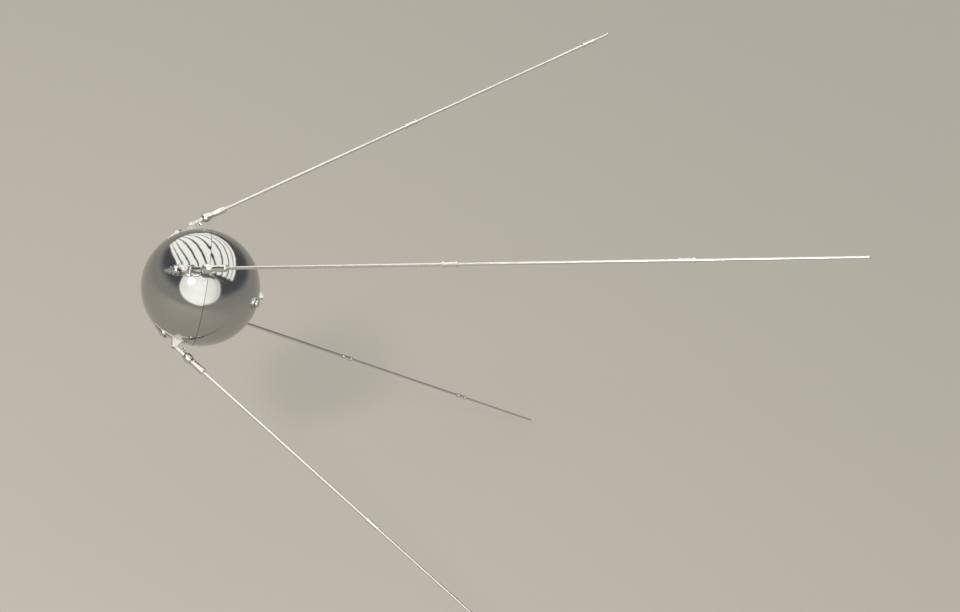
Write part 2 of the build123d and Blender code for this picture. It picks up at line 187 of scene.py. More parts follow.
def tint_between(tree, source, shader, colour, shade):
    """Lets a noise move the base colour between a darker shade of it and the colour itself."""
    tint = new_node(tree, "ShaderNodeMix", data_type="RGBA")
    tint.inputs["A"].default_value = (*(value * shade for value in colour), 1.0)
    tint.inputs["B"].default_value = (*colour, 1.0)
    tree.links.new(source, tint.inputs["Factor"])
    tree.links.new(tint.outputs["Result"], shader.inputs["Base Color"])


# %% [markdown]
# All the metals share one recipe. The colour of bare metal hardly changes over a surface, but
# its roughness does: a turned sleeve has rings, a drawn tube has lines along it, a polished
# ball has faint rings and cloudy patches where the wheel dwelt. So one stretched noise moves
# the roughness and a very low bump, and one wide noise moves the colour a little. A painted
# image could carry such marks too, but it needs an unwrapped mesh, and noise needs none. The
# noises read Object coordinates, which stay with the piece when it moves.

# %% A metal with grain
cloud_share = 0.45
line_share = 1.0 - cloud_share
relief_strength = 0.25
swell_scale = 9.0


def metal(
    name, colour, smooth, rough, grain, turn=(0, 0, 0), clouds=6.0, shade=0.9, bump=0.0002, wave=0
):
    """Bare metal: smooth and rough are the ends of its roughness, grain the scale of its lines
    along each axis of the turned piece, clouds that of its patches, shade the tone of the
    darkest patch, bump the height of the lines, and wave that of the slow swell that a thin
    spun sheet keeps."""
    material = bpy.data.materials.new(name)
    material.use_nodes = True
    tree = material.node_tree
    shader = tree.nodes["Principled BSDF"]
    shader.inputs["Metallic"].default_value = 1.0
    place = tree.nodes.new("ShaderNodeTexCoord")
    turned = new_node(tree, "ShaderNodeMapping", Rotation=turn)
    stretched = new_node(tree, "ShaderNodeMapping", Scale=grain)
    lines = new_node(tree, "ShaderNodeTexNoise", Scale=1.0, Detail=3.0, Roughness=0.6)
    patches = new_node(tree, "ShaderNodeTexNoise", Scale=clouds, Detail=4.0, Roughness=0.55)
    tree.links.new(place.outputs["Object"], turned.inputs["Vector"])
    tree.links.new(turned.outputs["Vector"], stretched.inputs["Vector"])
    tree.links.new(stretched.outputs["Vector"], lines.inputs["Vector"])
    tree.links.new(place.outputs["Object"], patches.inputs["Vector"])

    mixed = new_node(tree, "ShaderNodeMath", operation="MULTIPLY_ADD")
    mixed.inputs[1].default_value = cloud_share
    tree.links.new(patches.outputs["Fac"], mixed.inputs[0])
    weighted = new_node(tree, "ShaderNodeMath", operation="MULTIPLY")
    weighted.inputs[1].default_value = line_share
    tree.links.new(lines.outputs["Fac"], weighted.inputs[0])
    tree.links.new(weighted.outputs["Value"], mixed.inputs[2])
    roughness = spread_between(tree, mixed.outputs["Value"], smooth, rough)
    tree.links.new(roughness, shader.inputs["Roughness"])
    tint_between(tree, patches.outputs["Fac"], shader, colour, shade)

    relief = new_node(tree, "ShaderNodeBump", Strength=relief_strength, Distance=bump)
    tree.links.new(lines.outputs["Fac"], relief.inputs["Height"])
    tree.links.new(relief.outputs["Normal"], shader.inputs["Normal"])
    if wave:
        swell = new_node(tree, "ShaderNodeTexNoise", Scale=swell_scale, Detail=2.0, Roughness=0.5)
        tree.links.new(place.outputs["Object"], swell.inputs["Vector"])
        bowed = new_node(tree, "ShaderNodeBump", Strength=1.0, Distance=wave)
        tree.links.new(swell.outputs["Fac"], bowed.inputs["Height"])
        tree.links.new(bowed.outputs["Normal"], relief.inputs["Normal"])
    return material


# %% [markdown]
# The ball is spun from sheet and then polished to a mirror, so its grain is rings round the X
# axis: the pattern runs fast along X and hardly at all across it. A mirror shows the least
# swell of the sheet, so the two halves get a slow one a millimetre high, which bends what they
# mirror a little, as on the real ball. The rear half is the same alloy with a shade more haze.
# Feet and screws have an even grain, because they are polished by hand or only turned.

# %% The metals of the hull
RINGS_ROUND_X = (260.0, 6.0, 6.0)
EVEN_GRAIN = (180.0, 180.0, 180.0)

shield_metal = metal(
    "polished_shield",
    colour=(0.47, 0.48, 0.47),
    smooth=0.05,
    rough=0.12,
    grain=RINGS_ROUND_X,
    clouds=5.0,
    bump=0.00002,
    wave=0.0012,
)
hull_metal = metal(
    "polished_hull",
    colour=(0.46, 0.47, 0.46),
    smooth=0.06,
    rough=0.14,
    grain=RINGS_ROUND_X,
    clouds=5.0,
    bump=0.00001,
    wave=0.0012,
)
foot_metal = metal(
    "foot_alloy",
    colour=(0.58, 0.58, 0.56),
    smooth=0.12,
    rough=0.20,
    grain=EVEN_GRAIN,
    clouds=14.0,
    shade=0.95,
)
frame_metal = metal(
    "frame_alloy", colour=(0.66, 0.67, 0.67), smooth=0.28, rough=0.42, grain=EVEN_GRAIN
)
screw_metal = metal(
    "screw_steel", colour=(0.63, 0.63, 0.62), smooth=0.20, rough=0.34, grain=EVEN_GRAIN, clouds=60.0
)
steel_metal = metal(
    "turned_steel",
    colour=(0.60, 0.60, 0.59),
    smooth=0.18,
    rough=0.32,
    grain=RINGS_ROUND_X,
    clouds=40.0,
)
print("hull metals made")

# %% [markdown]
# A root sleeve is turned on a lathe, which leaves rings round it, and a rod is drawn through a
# die, which leaves lines along it: there the fast axes are the two across. Each antenna points
# its own way, so the pattern has to be turned to match. The pieces themselves can't be turned,
# because their place is in their points, so each antenna gets materials of its own, with the
# turn in the Mapping node.

# %% The metals of the antennas
RINGS_ALONG = (900.0, 8.0, 8.0)
LINES_ALONG = (3.0, 900.0, 900.0)


def straight_turn(along, up):
    """Rotation for a Mapping node that brings a direction of the piece onto X."""
    side = up.cross(along)
    return Matrix((along, side, up)).to_euler()


root_metals = {}
rod_metals = {}
joint_metals = {}
for antenna in antennas:
    turn = straight_turn(antenna.rod, antenna.pin)
    name = antenna.body
    root_metals[name] = metal(
        f"{name}_turned_root",
        colour=(0.66, 0.66, 0.64),
        smooth=0.11,
        rough=0.22,
        grain=RINGS_ALONG,
        turn=turn,
        clouds=35.0,
    )
    rod_metals[name] = metal(
        f"{name}_drawn_rod",
        colour=(0.68, 0.68, 0.655),
        smooth=0.20,
        rough=0.34,
        grain=LINES_ALONG,
        turn=turn,
        clouds=9.0,
    )
    joint_metals[name] = metal(
        f"{name}_joint",
        colour=(0.74, 0.73, 0.69),
        smooth=0.18,
        rough=0.30,
        grain=RINGS_ALONG,
        turn=turn,
        clouds=35.0,
    )
print("antenna metals made for", list(root_metals))

# %% [markdown]
# Three parts aren't bare metal: the rubber seal in the joint between the halves, the glazed
# brown insulators of the lead-ins behind the fairings, and the grey casing of the battery
# block. They need no grain, only a slow change of tone and gloss, so a shorter recipe with
# one even noise does for all three.

# %% Rubber, insulator and casing
matte_shade = 0.88


def matte(name, colour, smooth, rough, scale):
    """Plain material whose roughness and tone change with one even noise."""
    material = bpy.data.materials.new(name)
    material.use_nodes = True
    tree = material.node_tree
    shader = tree.nodes["Principled BSDF"]
    place = tree.nodes.new("ShaderNodeTexCoord")
    speckle = new_node(tree, "ShaderNodeTexNoise", Scale=scale, Detail=4.0, Roughness=0.6)
    tree.links.new(place.outputs["Object"], speckle.inputs["Vector"])
    roughness = spread_between(tree, speckle.outputs["Fac"], smooth, rough)
    tree.links.new(roughness, shader.inputs["Roughness"])
    tint_between(tree, speckle.outputs["Fac"], shader, colour, matte_shade)
    return material


seal_rubber = matte("seal_rubber", (0.03, 0.03, 0.032), smooth=0.55, rough=0.75, scale=120.0)
lead_in_glaze = matte("lead_in_glaze", (0.15, 0.095, 0.06), smooth=0.20, rough=0.32, scale=90.0)
block_casing = matte("block_casing", (0.36, 0.38, 0.37), smooth=0.40, rough=0.60, scale=40.0)
print("matte finishes made")

# %% [markdown]
# A table says which node wears what, so a finish can be changed in one place. Every node gets
# one, also those closed in inside the ball, because the part may be taken apart in a viewer.

# %% Finishes of the CAD nodes
hull_finishes = {
    "heat_shield": shield_metal,
    "rear_shell": hull_metal,
    "front_shell": hull_metal,
    "seal_ring": seal_rubber,
    "battery_block": block_casing,
    "battery_frame": frame_metal,
    "separation_contact": steel_metal,
    "test_connector": steel_metal,
    "connector_cover": steel_metal,
    "filling_valve": steel_metal,
    "hinge_pins": screw_metal,
    "hinge_springs": screw_metal,
    "feed_fittings": lead_in_glaze,
}
antenna_finishes = {
    "hinge_arm": root_metals,
    "root_sleeve": root_metals,
    "rod_inner": rod_metals,
    "rod_middle": rod_metals,
    "rod_outer": rod_metals,
    "rod_joints": joint_metals,
}


def wear(node, material):
    """Puts a material in every material slot of a CAD node's object."""
    for slot in frame["nodes"][node].material_slots:
        slot.material = material


for node, material in hull_finishes.items():
    wear(node, material)
for antenna in antennas:
    wear(f"{antenna.body}_foot", foot_metal)
    for ending, metals in antenna_finishes.items():
        wear(f"{antenna.body}_{ending}", metals[antenna.body])
print("nodes dressed:", len(hull_finishes) + len(antennas) * (len(antenna_finishes) + 1))

# %% [markdown]
# The mesh of a ball has a pole, a point where many triangles meet, and the normal that is
# stored there may come out wrong. Dull paint hides that, but the polished shield would mirror
# the dark ceiling in a small half disc at its very front, and the rods have the same fault at
# their round tips. A CAD mesh is never changed, so a copy with the same points stands in for
# each of these nodes. Its normals could all be worked out anew from its faces, but then a
# mirror would show every thin triangle. So they are carried over as they are, and only those
# at the pole are set to point straight out.

# %% Poles of the brightest nodes
pole_depth = 0.01 * MM
weld_distance = 0.001 * MM


def with_true_pole(node, outward, body, material):
    """Copy of a CAD node whose normals at its farthest point along outward follow outward."""
    source = frame["nodes"][node].data
    reach = max(point.co.dot(outward) for point in source.vertices)
    twin = bmesh.new()
    twin.from_mesh(source)
    kept = twin.loops.layers.float_vector.new("kept_normal")
    for face in twin.faces:
        for corner in face.loops:
            corner[kept] = source.corner_normals[corner.index].vector
            if corner.vert.co.dot(outward) > reach - pole_depth:
                corner[kept] = outward
    bmesh.ops.remove_doubles(twin, verts=twin.verts[:], dist=weld_distance)
    piece = finish_piece(twin, f"{node}_skin", body, material)
    carried = piece.data.attributes["kept_normal"]
    normals = [item.vector[:] for item in carried.data]
    piece.data.attributes.remove(carried)
    piece.data.normals_split_custom_set(normals)
    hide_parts(node)


with_true_pole("heat_shield", -AFT, "hull", shield_metal)
for antenna in antennas:
    rod_end = f"{antenna.body}_rod_outer"
    with_true_pole(rod_end, antenna.rod, antenna.body, rod_metals[antenna.body])
print("nodes with a stand-in:", 1 + len(antennas))

# %% [markdown]
# ## Screws
# A slotted screw head is a short cylinder with a saw cut across it. A Boolean could cut the
# slot, but it leaves thin crooked faces behind. Here two cuts across the cylinder part off the
# strip where the slot goes, and the two half moons beside it are raised. That leaves the slot
# open at both ends, as a saw leaves it, and a small bevel takes the edge off the rim.

# %% Pattern of a slotted screw
slot_floor_share = 0.5
upward = 0.9
rim_share = 0.98
bevel_share = 0.16


def slotted_head(radius, height, slot_width, sides=24):
    """Cheese head that stands on the XY plane, its slot along X."""
    head = bmesh.new()
    slot_floor = height * slot_floor_share
    bmesh.ops.create_cone(
        head,
        cap_ends=True,
        segments=sides,
        radius1=radius,
        radius2=radius,
        depth=slot_floor,
        matrix=Matrix.Translation((0, 0, slot_floor / 2)),
    )
    for cut in (-slot_width / 2, slot_width / 2):
        geometry = head.verts[:] + head.edges[:] + head.faces[:]
        bmesh.ops.bisect_plane(head, geom=geometry, plane_co=(0, cut, 0), plane_no=(0, 1, 0))
    moons = []
    for face in head.faces:
        middle = face.calc_center_median()
        if face.normal.z > upward and abs(middle.y) > slot_width / 2:
            moons.append(face)
    raised = bmesh.ops.extrude_discrete_faces(head, faces=moons)["faces"]
    points = {point for face in raised for point in face.verts}
    bmesh.ops.translate(head, vec=(0, 0, height - slot_floor), verts=list(points))
    rim = set()
    for face in raised:
        for edge in face.edges:
            if all(point.co.xy.length > radius * rim_share for point in edge.verts):
                rim.add(edge)
    bmesh.ops.bevel(
        head,
        geom=list(rim),
        offset=height * bevel_share,
        segments=2,
        profile=0.5,
        affect="EDGES",
        material=-1,
    )
    return head


rim_head = slotted_head(radius=2.6 * MM, height=0.5 * MM, slot_width=0.7 * MM)
rim_screw = as_pattern(rim_head, "rim_screw")
print("faces in a screw head:", len(rim_screw.polygons))

# %% [markdown]
# The rear edge of the heat shield is held by a ring of low screws just in front of the joint.
# Their heads stand only a few tenths of a millimetre off the skin, so a flat ring of copies
# would sink in or float. Each one gets a matrix of its own instead, square to the ball under
# it. Nobody lines up the slots of screws, so each is turned by the golden angle from the last,
# which looks chance and is the same in every run.

# %% Ring of rim screws
rim_screw_count = 36
rim_screw_x = -9 * MM
rim_screw_sunk = 0.15 * MM
golden_turn = math.pi * (3 - math.sqrt(5))

rim_places = []
for number in range(rim_screw_count):
    bearing = math.tau * (number + 0.5) / rim_screw_count
    height = math.sqrt(ball_radius**2 - rim_screw_x**2)
    spot = Vector((rim_screw_x, height * math.cos(bearing), height * math.sin(bearing)))
    up = spot.normalized()
    along = (AFT - up * AFT.dot(up)).normalized()
    slot_turn = Matrix.Rotation(golden_turn * number, 4, "Z")
    rim_places.append(placed(spot - up * rim_screw_sunk, along, up) @ slot_turn)
rim_ring = bmesh.new()
stamp(rim_ring, rim_screw, rim_places)
finish_piece(rim_ring, "rim_screws", "hull", screw_metal)
print("rim screws:", rim_screw_count)

# %% [markdown]
# Each foot plate is screwed down all round its edge. The plate's outline is three circles in
# one tight loop, drawn on the plane that faces the middle of the plate. The screws could be set
# by eye, but following the same loop a few millimetres inside it keeps them all as far from the
# edge: along the straight sides the half width comes from the tangent of two circles, and at
# nose and tail it is a point on a circle.

# %% Loop of screws in a foot plate
plate_half_angle = math.radians(19.0)
widest_angle = math.radians(5.0)
half_length = ball_radius * math.sin(plate_half_angle)
widest_x = -ball_radius * math.sin(widest_angle)
nose_radius = 13 * MM
wide_radius = 28 * MM
tail_radius = 26 * MM
screw_inset = 3.4 * MM
nose_circle = (nose_radius - half_length, nose_radius - screw_inset)
wide_circle = (widest_x, wide_radius - screw_inset)
tail_circle = (half_length - tail_radius, tail_radius - screw_inset)
front_side_x = (-62 * MM, -42 * MM)
rear_side_x = (-18 * MM, 8 * MM, 40 * MM, 70 * MM)
tail_bearings = (math.radians(-30.0), math.radians(30.0))


def tangent_width(x, first, second):
    """Half width of the loop at x, between two circles given as centre and radius."""
    slope = math.asin((second[1] - first[1]) / (second[0] - first[0]))
    return (first[1] + (x - first[0]) * math.sin(slope)) / math.cos(slope)


side_places = []
for x in front_side_x:
    side_places.append((x, tangent_width(x, nose_circle, wide_circle)))
for x in rear_side_x:
    side_places.append((x, tangent_width(x, wide_circle, tail_circle)))
loop_places = [(nose_circle[0] - nose_circle[1], 0.0)]
for x, half_width in side_places:
    loop_places += [(x, half_width), (x, -half_width)]
for bearing in tail_bearings:
    x = tail_circle[0] + tail_circle[1] * math.cos(bearing)
    loop_places.append((x, tail_circle[1] * math.sin(bearing)))
print("screws in a foot:", len(loop_places))

# %% [markdown]
# The loop is flat, but the top of the plate is part of a ball a little larger than the shield.
# So each screw is lifted from the flat loop onto that ball and stands square to it, as it does
# where a screw is driven straight in. One mesh holds the screws of a foot.

# %% Screws round the foot plates
foot_head = slotted_head(radius=2.3 * MM, height=1.5 * MM, slot_width=0.6 * MM)
foot_screw = as_pattern(foot_head, "foot_screw")
plate_height = 4 * MM
plate_radius = ball_radius + plate_height
plate_middle = math.radians(65.0)


def on_plate(antenna, x, across):
    """Place on top of a foot plate, facing straight off the ball."""
    up = antenna.outward * math.sin(plate_middle) - AFT * math.cos(plate_middle)
    along = up.cross(antenna.pin).normalized()
    height = math.sqrt(plate_radius**2 - x**2 - across**2)
    spot = along * x + antenna.pin * across + up * height
    normal = spot.normalized()
    level = (along - normal * along.dot(normal)).normalized()
    return placed(spot, level, normal)


for antenna in antennas:
    places = []
    for number, (x, across) in enumerate(loop_places):
        slot_turn = Matrix.Rotation(golden_turn * number, 4, "Z")
        places.append(on_plate(antenna, x, across) @ slot_turn)
    ring = bmesh.new()
    stamp(ring, foot_screw, places)
    finish_piece(ring, f"{antenna.body}_foot_screws", "hull", screw_metal)
print("feet with screws:", len(antennas))

# %% [markdown]
# Grub screws lock the rod sections in their sleeves, three round each collar of a rod joint
# and three round the end of the root sleeve. They are slotted pins smaller than a match head,
# let into the metal, so only their rims and slots show. The places of the rod joints could be
# copied from the model's source, but the boxes of the rods tell them too, and then the screws
# move with the joints.

# %% Grub screws on the antennas
grub_head = slotted_head(radius=1.9 * MM, height=0.9 * MM, slot_width=0.5 * MM, sides=16)
grub_screw = as_pattern(grub_head, "grub_screw")
root_screw_distance = 176 * MM
root_sleeve_radius = 17.5 * MM
joint_half = 36 * MM
collar_half = 4.5 * MM
collar_radii = (13.5 * MM, 12.5 * MM)
rod_radii = {"rod_inner": 8 * MM, "rod_middle": 7 * MM}
grub_bearings = (math.radians(60), math.radians(180), math.radians(300))
grub_sunk = 0.3 * MM
quarter_turn = math.radians(90)


def joint_middles(antenna):
    """Distances of the two rod joints from the pin, read from the ends of the rods."""
    lengths = []
    for ending, radius in rod_radii.items():
        far_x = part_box(f"{antenna.body}_{ending}")[1].x - antenna.pivot.x
        lengths.append((far_x - abs(antenna.lift.x) * radius) / antenna.rod.x)
    return lengths


for antenna in antennas:
    middles = joint_middles(antenna)
    rings = [(root_screw_distance, root_sleeve_radius)]
    for middle, radius in zip(middles, collar_radii):
        rings.append((middle - joint_half + collar_half, radius))
        rings.append((middle + joint_half - collar_half, radius))
    places = []
    for distance, radius in rings:
        for bearing in grub_bearings:
            turned = antenna.on_rod(distance) @ Matrix.Rotation(bearing, 4, "Z")
            lifted = turned @ Matrix.Translation((radius - grub_sunk, 0, 0))
            places.append(lifted @ Matrix.Rotation(quarter_turn, 4, "Y"))
    grubs = bmesh.new()
    stamp(grubs, grub_screw, places)
    finish_piece(grubs, f"{antenna.body}_grub_screws", antenna.body, screw_metal)
    print(antenna.body, "joints at", [round(middle / MM) for middle in middles], "mm")

# %% [markdown]
# Two round fittings stand on the rear half: a stub at the rear pole, and a flange with a domed
# cover beside it. Four screws hold the stub's flange. The six bolt holes of the other flange
# stay open, because a test plug is screwed on there. A round fitting's box is symmetrical
# about the fitting's axis, so the middle of the box gives the direction in which it faces.
# At the pole that direction is the axis of the ball itself, so level has to be chosen there.

# %% Screws of the rear stub
stub_head = slotted_head(radius=2.4 * MM, height=1.4 * MM, slot_width=0.6 * MM)
stub_screw = as_pattern(stub_head, "stub_screw")
stub_flange_height = 4 * MM
stub_screw_ring = 21.5 * MM
stub_screw_count = 4
stub_first_bearing = math.radians(45.0)
shortest_level = 0.01


def facing_frame(node):
    """Directions level with the skin and outwards, where a round fitting stands."""
    low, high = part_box(node)
    up = (low + high).normalized()
    level = AFT - up * AFT.dot(up)
    if level.length < shortest_level:
        level = Vector((0, 0, 1))
    return level.normalized(), up


level, up = facing_frame("separation_contact")
flange_middle = placed(up * (ball_radius + stub_flange_height), level, up)
stub_places = []
for number in range(stub_screw_count):
    bearing = stub_first_bearing + math.tau * number / stub_screw_count
    turned = flange_middle @ Matrix.Rotation(bearing, 4, "Z")
    slot_turn = Matrix.Rotation(golden_turn * number, 4, "Z")
    stub_places.append(turned @ Matrix.Translation((stub_screw_ring, 0, 0)) @ slot_turn)
stub_ring = bmesh.new()
stamp(stub_ring, stub_screw, stub_places)
finish_piece(stub_ring, "stub_screws", "hull", screw_metal)
print("screws of the rear stub:", stub_screw_count)

# %% [markdown]
# A black rubber ring shows as a thin line where the domed cover meets its flange, and keeps
# dust out of the plug. It is a torus, which bmesh has no call for: a small circle beside the
# axis is spun one full turn. With use_merge the last ring of points is joined to the first, so
# the tube is closed and has no seam.

# %% Ring under the domed cover
ring_thickness = 0.8 * MM
cover_radius = 20 * MM
cover_flange_height = 7 * MM

beside_cover = Matrix.Translation((cover_radius + ring_thickness, 0, ring_thickness))
cover_ring = bmesh.new()
bmesh.ops.create_circle(
    cover_ring,
    segments=10,
    radius=ring_thickness,
    matrix=beside_cover @ Matrix.Rotation(quarter_turn, 4, "X"),
)
bmesh.ops.spin(
    cover_ring,
    geom=cover_ring.edges[:],
    cent=(0, 0, 0),
    axis=(0, 0, 1),
    angle=math.tau,
    steps=64,
    use_merge=True,
    use_duplicate=False,
)
bmesh.ops.recalc_face_normals(cover_ring, faces=cover_ring.faces[:])
level, up = facing_frame("test_connector")
cover_frame = placed(up * (ball_radius + cover_flange_height), level, up)
bmesh.ops.transform(cover_ring, matrix=cover_frame, verts=cover_ring.verts[:])
finish_piece(cover_ring, "cover_ring", "hull", seal_rubber)
print("cover ring made")

# %% [markdown]
# ## Spring wire
# The coils beside each hinge arm are in the model, but not their legs. On the real spring one
# wire runs from each coil along the arm and hooks behind the stud, and one presses on the
# foot plate. A curve with a round bevel would do, but its corners are hard to set to a true
# bend radius. So a bent wire is made the way a bender makes it: a ring of points is pushed
# along each straight with extrude, and swung round each bend with spin.

# %% A bent wire
wire_radius = 0.85 * MM
wire_sides = 12
bend_steps = 6


def only(parts, kind):
    """The parts that are of one kind, from the mixed list that an operator returns."""
    return [part for part in parts if isinstance(part, kind)]


def bent_wire(steps):
    """Closed wire that starts at the origin along Z and bends towards X. Each step is a
    straight length, then the angle and the radius of the bend after it, or two zeros."""
    wire = bmesh.new()
    bmesh.ops.create_circle(wire, segments=wire_sides, radius=wire_radius)
    end = wire.edges[:]
    spot = Vector((0, 0, 0))
    heading = Vector((0, 0, 1))
    side = Vector((1, 0, 0))
    for length, angle, bend_radius in steps:
        pushed = bmesh.ops.extrude_edge_only(wire, edges=end)["geom"]
        points = only(pushed, bmesh.types.BMVert)
        bmesh.ops.translate(wire, vec=heading * length, verts=points)
        spot = spot + heading * length
        end = only(pushed, bmesh.types.BMEdge)
        if angle:
            to_centre = side * bend_radius
            hinge_line = heading.cross(side)
            swung = bmesh.ops.spin(
                wire,
                geom=end,
                cent=spot + to_centre,
                axis=hinge_line,
                angle=angle,
                steps=bend_steps,
                use_merge=False,
                use_duplicate=False,
            )
            end = only(swung["geom_last"], bmesh.types.BMEdge)
            turn = Matrix.Rotation(angle, 3, hinge_line)
            spot = spot + to_centre - turn @ to_centre
            heading = turn @ heading
            side = turn @ side
    bmesh.ops.holes_fill(wire, edges=wire.edges[:], sides=0)
    bmesh.ops.recalc_face_normals(wire, faces=wire.faces[:])
    return wire


# %% [markdown]
# All the legs are alike, so each of the two shapes is bent once and stamped in its places. The
# inner leg follows the arm, so it rides on the antenna. The outer leg stays on the foot, so it
# rides on the hull. Both leave their coil along its tangent, so nothing kinks where they
# start, and the antenna may swing without tearing one from the other. The skin under a hinge
# faces up and fore in the hull's own directions, which follow from the hinge's station, its
# angle from the front pole.

# %% Spring legs
pivot_station = math.radians(73.8)
coil_radius = 6.35 * MM
inner_turn = 9.35 * MM
outer_turn = 13.65 * MM
hook_slope = math.radians(8.0)
foot_slope = math.radians(50.0)
hook_steps = [(51.8 * MM, quarter_turn, 2.5 * MM), (6.5 * MM, 0, 0)]
foot_steps = [(31.2 * MM, foot_slope, 3 * MM), (6 * MM, 0, 0)]
hook_leg = as_pattern(bent_wire(hook_steps), "hook_leg")
foot_leg = as_pattern(bent_wire(foot_steps), "foot_leg")


def coil_exit(antenna, forward, upward, slope, across):
    """Point of a coil where its tangent dips below forward by slope, and that tangent."""
    heading = forward * math.cos(slope) - upward * math.sin(slope)
    touch = -forward * math.sin(slope) - upward * math.cos(slope)
    return antenna.pivot + touch * coil_radius + antenna.pin * across, heading


for antenna in antennas:
    hook_places = []
    foot_places = []
    hull_up = antenna.outward * math.sin(pivot_station) - AFT * math.cos(pivot_station)
    hull_fore = antenna.pin.cross(hull_up)
    rising = hull_up * math.cos(foot_slope) + hull_fore * math.sin(foot_slope)
    for side in (-1, 1):
        across = side * inner_turn
        spot, heading = coil_exit(antenna, antenna.rod, antenna.lift, hook_slope, across)
        hook_places.append(placed(spot, antenna.pin * -side, heading))
        across = side * outer_turn
        spot, heading = coil_exit(antenna, hull_fore, hull_up, foot_slope, across)
        foot_places.append(placed(spot, rising, heading))
    hooks = bmesh.new()
    stamp(hooks, hook_leg, hook_places)
    name = f"{antenna.body}_spring_hook"
    finish_piece(hooks, name, antenna.body, screw_metal)
    feet = bmesh.new()
    stamp(feet, foot_leg, foot_places)
    finish_piece(feet, f"{antenna.body}_spring_foot", "hull", screw_metal)
    print(antenna.body, "spring legs:", len(hook_places) + len(foot_places))

# %% [markdown]
# ## Lamps, floor and camera
# The satellite hangs in the air, so the floor lies well below it, and reaches far enough that
# its edge is at the horizon from every side. One face is enough, because nothing on it is
# bent. Its colour is a warm pale grey: it sets off the dark outline of the ball, and the ball
# mirrors it in its lower half. From below the floor is see-through, so that the underside of
# the ball can be looked at too. As a stage it isn't counted as part of the object.

# %% Floor
floor_height = -1.55
floor_reach = 60.0
floor_colour = (0.60, 0.57, 0.50, 1.0)
floor_roughness = 0.85
floor_specular = 0.2

floor_edit = bmesh.new()
bmesh.ops.create_grid(
    floor_edit,
    x_segments=1,
    y_segments=1,
    size=floor_reach,
    matrix=Matrix.Translation((0, 0, floor_height)),
)
floor_mesh = bpy.data.meshes.new("floor")
floor_edit.to_mesh(floor_mesh)
floor_edit.free()
floor = bpy.data.objects.new("floor", floor_mesh)
bpy.context.scene.collection.objects.link(floor)
floor_material = bpy.data.materials.new("pale_floor")
floor_material.use_nodes = True
floor_tree = floor_material.node_tree
floor_shader = floor_tree.nodes["Principled BSDF"]
floor_shader.inputs["Base Color"].default_value = floor_colour
floor_shader.inputs["Roughness"].default_value = floor_roughness
floor_shader.inputs["Specular IOR Level"].default_value = floor_specular
underside = floor_tree.nodes.new("ShaderNodeNewGeometry")
see_through = floor_tree.nodes.new("ShaderNodeBsdfTransparent")
by_side = floor_tree.nodes.new("ShaderNodeMixShader")
floor_output = floor_tree.nodes["Material Output"]
floor_tree.links.new(underside.outputs["Backfacing"], by_side.inputs["Fac"])
floor_tree.links.new(floor_shader.outputs["BSDF"], by_side.inputs[1])
floor_tree.links.new(see_through.outputs["BSDF"], by_side.inputs[2])
floor_tree.links.new(by_side.outputs["Shader"], floor_output.inputs["Surface"])
floor_mesh.materials.append(floor_material)
print("floor at", floor_height, "m")

# %% [markdown]
# A polished ball shows the lamps themselves, so each lamp is also a picture in the ball. Nine
# long strips side by side overhead make the slanting ribs in its upper half. An area lamp is
# chosen over a point lamp, because a mirror then shows a shape and not a spot. Its power
# follows from its area and the brightness wanted, so its size can change and the brightness
# stays. The strips don't light dull surfaces, because they are there to be mirrored.

# %% Strips overhead
LAMP_WHITE = (1.0, 0.97, 0.90)


def lamp(name, place, facing, along, size, radiance):
    """Area lamp at a place: it shines along facing, and its first size runs along a direction."""
    data = bpy.data.lights.new(name, "AREA")
    data.shape = "RECTANGLE"
    data.size, data.size_y = size
    data.energy = radiance * math.pi * size[0] * size[1]
    data.color = LAMP_WHITE
    lamp_object = bpy.data.objects.new(name, data)
    lamp_object.matrix_world = placed(place, along, -facing)
    lamp_object.visible_camera = False
    bpy.context.scene.collection.objects.link(lamp_object)
    return lamp_object


strip_count = 9
strip_size = (17.5, 0.86)
strip_radiance = 1.8
strip_first = Vector((-4.3, -0.5, 4.2))
strip_step = Vector((1.17, 0, 0))
strip_heading = Vector((-0.31, 0.95, 0)).normalized()
strip_near_end = 1.9
strip_shift = strip_heading * (strip_size[0] / 2 - strip_near_end)
downwards = Vector((0, 0, -1))

for number in range(strip_count):
    name = f"strip_{number + 1}"
    middle = strip_first + strip_step * number + strip_shift
    strip = lamp(name, middle, downwards, strip_heading, strip_size, strip_radiance)
    strip.visible_diffuse = False
print("strips:", strip_count)

# %% [markdown]
# Two oval lamps behind the camera make the bright patch that runs down from the ribs, as a
# window would, and show in all the metal that faces the camera. One alone would be a flat
# white disc. So the second has a narrow spread, as a softbox with a grid has: it is brightest
# from straight ahead and fades to the side, which shades the patch. The spread packs its power
# into fewer directions, so its radiance is set low. Like the strips, both leave the floor
# alone. The key lamp is small beside them and much brighter, and stands to the left: it draws
# the glints on the fittings and throws the soft shadow on the floor.

# %% Window and key lamp
ball_centre = Vector((0, 0, 0))
wide_place = Vector((-1.0, -8.2, 4.6))
wide_size = (15.6, 12.4)
wide_radiance = 0.9
glow_place = Vector((-1.6, -8.1, 4.2))
glow_size = (13.0, 12.0)
glow_radiance = 0.13
glow_spread = math.radians(90.0)
key_place = Vector((-3.6, -5.9, 5.0))
key_target = Vector((0.3, 0, 0))
key_size = (0.9, 0.9)
key_radiance = 74.0


def lamp_towards(name, place, target, size, radiance):
    """Area lamp that faces a point, its first size level with the floor."""
    facing = (target - place).normalized()
    level = facing.cross(Vector((0, 0, 1))).normalized()
    return lamp(name, place, facing, level, size, radiance)


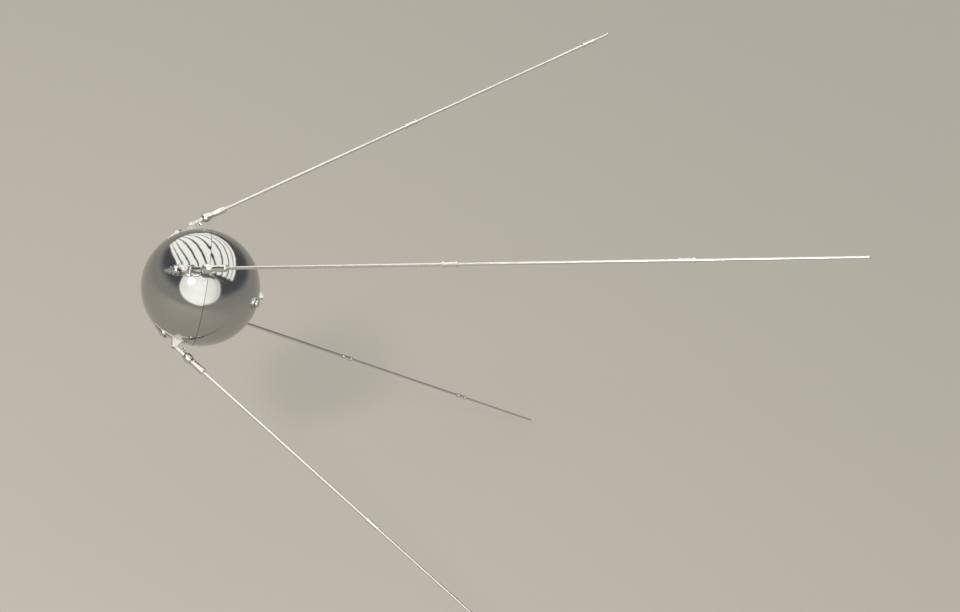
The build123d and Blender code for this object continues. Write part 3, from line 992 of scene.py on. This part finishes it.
wide_lamp = lamp_towards("wide_oval", wide_place, ball_centre, wide_size, wide_radiance)
glow_lamp = lamp_towards("glow_oval", glow_place, ball_centre, glow_size, glow_radiance)
glow_lamp.data.spread = glow_spread
for oval in (wide_lamp, glow_lamp):
    oval.data.shape = "ELLIPSE"
    oval.visible_diffuse = False
lamp_towards("key", key_place, key_target, key_size, key_radiance)
print("lamps:", len(bpy.data.lights))

# %% [markdown]
# The world fills in what the lamps leave. What the camera and the metal see is a ramp over
# height: at the horizon as pale as the floor, overhead dark, which gives the ball its dark
# upper part. All that lights dull surfaces is one even pale grey. Light Path tells the two
# apart, and rays through glass are counted with those that are seen.

# %% World
horizon_tone = (0.43, 0.405, 0.35, 1.0)
low_tone = (0.40, 0.39, 0.365, 1.0)
middle_tone = (0.14, 0.14, 0.14, 1.0)
overhead_tone = (0.05, 0.05, 0.055, 1.0)
even_tone = (0.72, 0.71, 0.69, 1.0)
low_height = 0.12
middle_height = 0.32

world = bpy.data.worlds.new("studio")
bpy.context.scene.world = world
world.use_nodes = True
sky = world.node_tree
direction = sky.nodes.new("ShaderNodeTexCoord")
split = sky.nodes.new("ShaderNodeSeparateXYZ")
tone = sky.nodes.new("ShaderNodeValToRGB")
sky.links.new(direction.outputs["Generated"], split.inputs["Vector"])
sky.links.new(split.outputs["Z"], tone.inputs["Fac"])
stops = tone.color_ramp.elements
stops[0].position = 0.0
stops[0].color = horizon_tone
stops[1].position = 1.0
stops[1].color = overhead_tone
low_stop = stops.new(low_height)
low_stop.color = low_tone
middle_stop = stops.new(middle_height)
middle_stop.color = middle_tone

rays = sky.nodes.new("ShaderNodeLightPath")
camera_or_glossy = new_node(sky, "ShaderNodeMath", operation="MAXIMUM")
seen = new_node(sky, "ShaderNodeMath", operation="MAXIMUM")
sky.links.new(rays.outputs["Is Camera Ray"], camera_or_glossy.inputs[0])
sky.links.new(rays.outputs["Is Glossy Ray"], camera_or_glossy.inputs[1])
sky.links.new(camera_or_glossy.outputs["Value"], seen.inputs[0])
sky.links.new(rays.outputs["Is Transmission Ray"], seen.inputs[1])
choice = new_node(sky, "ShaderNodeMix", data_type="RGBA")
choice.inputs["A"].default_value = even_tone
sky.links.new(seen.outputs["Value"], choice.inputs["Factor"])
sky.links.new(tone.outputs["Color"], choice.inputs["B"])
sky.links.new(choice.outputs["Result"], sky.nodes["Background"].inputs["Color"])
print("world nodes:", len(sky.nodes))

# %% [markdown]
# The camera stands in front of the ball, above it and a little to the left, and leans to one
# side. Its place and directions were found by fitting the outline of the ball and the ends
# and joints of all four rods to the photograph. A place and two directions fill a matrix
# directly, where three angles would depend on the order in which they are turned.

# %% Camera
camera_place = Vector((-0.7013, -6.5665, 3.8139))
camera_right = Vector((0.95107, -0.15622, 0.26658))
camera_up = Vector((-0.15066, 0.51877, 0.84153))
camera_data = bpy.data.cameras.new("camera")
camera_data.sensor_width = 36.0
camera_data.lens = 57.07
camera_data.clip_end = 200.0
camera = bpy.data.objects.new("camera", camera_data)
bpy.context.scene.collection.objects.link(camera)
camera.matrix_world = placed(camera_place, camera_right, camera_right.cross(camera_up))
bpy.context.scene.camera = camera
bpy.context.scene.view_settings.view_transform = "Standard"
print("camera distance:", round(camera_place.length, 2), "m")
